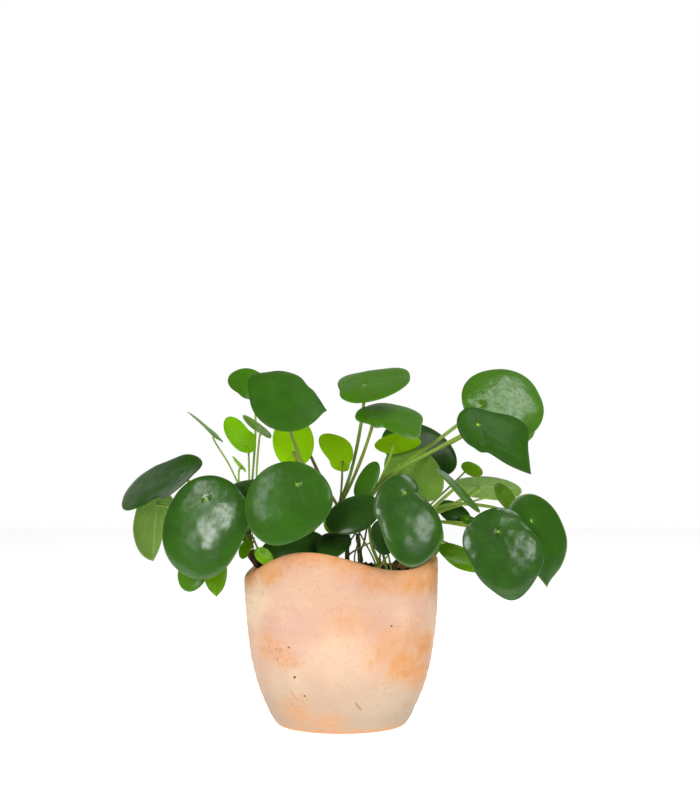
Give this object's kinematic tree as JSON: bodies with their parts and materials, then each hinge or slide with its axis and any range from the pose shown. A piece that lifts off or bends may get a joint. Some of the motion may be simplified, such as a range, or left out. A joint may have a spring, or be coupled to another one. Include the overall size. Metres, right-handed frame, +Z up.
{
  "type": "potted pilea plant",
  "caption": "Bushy round-leaved pilea on long petioles in a hand-thrown terracotta pot with a wavy rim.",
  "frame": {"origin": "middle of the pot's flat underside", "axes": "+Z up along the pot's axis; the front of the plant faces -Y; +X to the viewer's right"},
  "size_m": [0.3009, 0.1736, 0.2404],
  "materials": {
    "terracotta": "matte",
    "soil": "matte",
    "stem": "matte",
    "petiole": "satin",
    "leaf_mature": "glossy",
    "leaf_mid": "glossy",
    "leaf_young": "satin"
  },
  "bodies": {
    "root": {"pot": "terracotta", "soil": "soil", "stem_left": "stem", "petioles_left": "petiole", "stem_inner": "stem", "petioles_inner": "petiole", "stem_middle": "stem", "petioles_middle": "petiole", "stem_right": "stem", "petioles_right": "petiole", "stem_back": "stem", "petioles_back": "petiole", "petioles_pup": "petiole", "leaf_01": "leaf_mature", "leaf_02": "leaf_mid", "leaf_03": "leaf_mature", "leaf_04": "leaf_mature", "leaf_05": "leaf_young", "leaf_06": "leaf_mid", "leaf_07": "leaf_young", "leaf_08": "leaf_mid", "leaf_09": "leaf_young", "leaf_10": "leaf_mid", "leaf_11": "leaf_mature", "leaf_12": "leaf_young", "leaf_13": "leaf_mature", "leaf_14": "leaf_mature", "leaf_15": "leaf_young", "leaf_16": "leaf_mature", "leaf_17": "leaf_mature", "leaf_18": "leaf_young", "leaf_19": "leaf_mature", "leaf_20": "leaf_mid", "leaf_21": "leaf_mature", "leaf_22": "leaf_mid", "leaf_23": "leaf_mature", "leaf_24": "leaf_mature", "leaf_25": "leaf_mature", "leaf_26": "leaf_mid", "leaf_27": "leaf_young", "leaf_28": "leaf_mid", "leaf_29": "leaf_young", "leaf_30": "leaf_mature", "leaf_31": "leaf_mature", "leaf_32": "leaf_mature", "leaf_33": "leaf_mid", "leaf_34": "leaf_mature", "leaf_35": "leaf_young", "leaf_36": "leaf_young", "leaf_37": "leaf_mature", "leaf_38": "leaf_mature", "leaf_39": "leaf_young", "leaf_40": "leaf_mid", "leaf_41": "leaf_mature", "leaf_42": "leaf_mature", "leaf_43": "leaf_mature", "leaf_44": "leaf_mature", "leaf_45": "leaf_mid", "leaf_46": "leaf_mid"}
  },
  "joints": []
}
